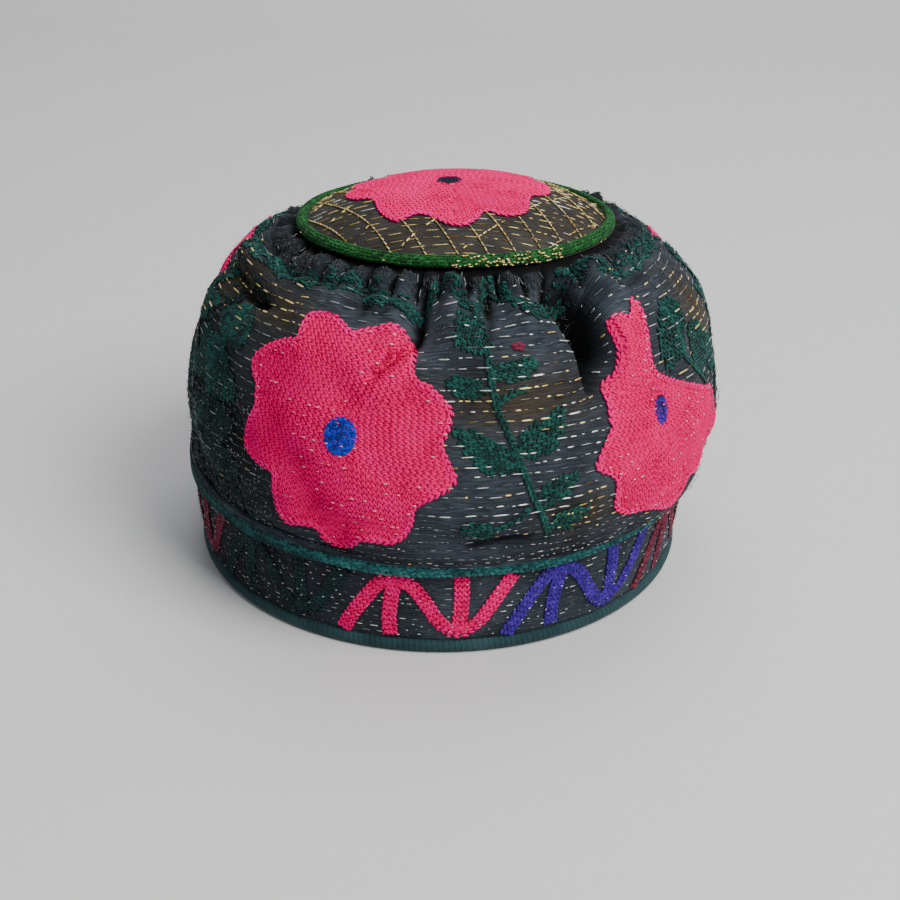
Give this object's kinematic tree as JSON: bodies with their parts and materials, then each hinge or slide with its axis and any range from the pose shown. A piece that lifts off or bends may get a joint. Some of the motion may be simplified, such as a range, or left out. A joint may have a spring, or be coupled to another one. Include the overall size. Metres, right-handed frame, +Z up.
{
  "type": "tubeteika skullcap",
  "caption": "Soft round Central Asian skullcap: an upright band with a corded hem, a puffed wall gathered under a domed top panel, open below for the head.",
  "frame": {"origin": "on the surface that the cap rests on, under the middle of the whole cap", "axes": "+Z up out of the top panel, -Y towards the front with the large flower on the left, +X to the right seen from the front"},
  "size_m": [0.1868, 0.1868, 0.1318],
  "materials": {
    "charcoal_cloth": "matt woven cloth with metallic threads",
    "green_thread": "chain-stitched cotton thread",
    "teal_thread": "chain-stitched cotton thread",
    "dark_teal_thread": "overcast cotton thread",
    "pink_thread": "chain-stitched cotton thread",
    "violet_thread": "chain-stitched cotton thread",
    "blue_thread": "chain-stitched cotton thread",
    "red_thread": "chain-stitched cotton thread",
    "silver_thread": "flat metallic thread",
    "gold_thread": "flat metallic thread"
  },
  "bodies": {
    "root": {"crown_disc": "charcoal_cloth", "disc_edge_cord": "green_thread", "side_wall": "charcoal_cloth", "band": "charcoal_cloth", "band_piping": "teal_thread", "hem_cord": "dark_teal_thread"}
  },
  "joints": []
}
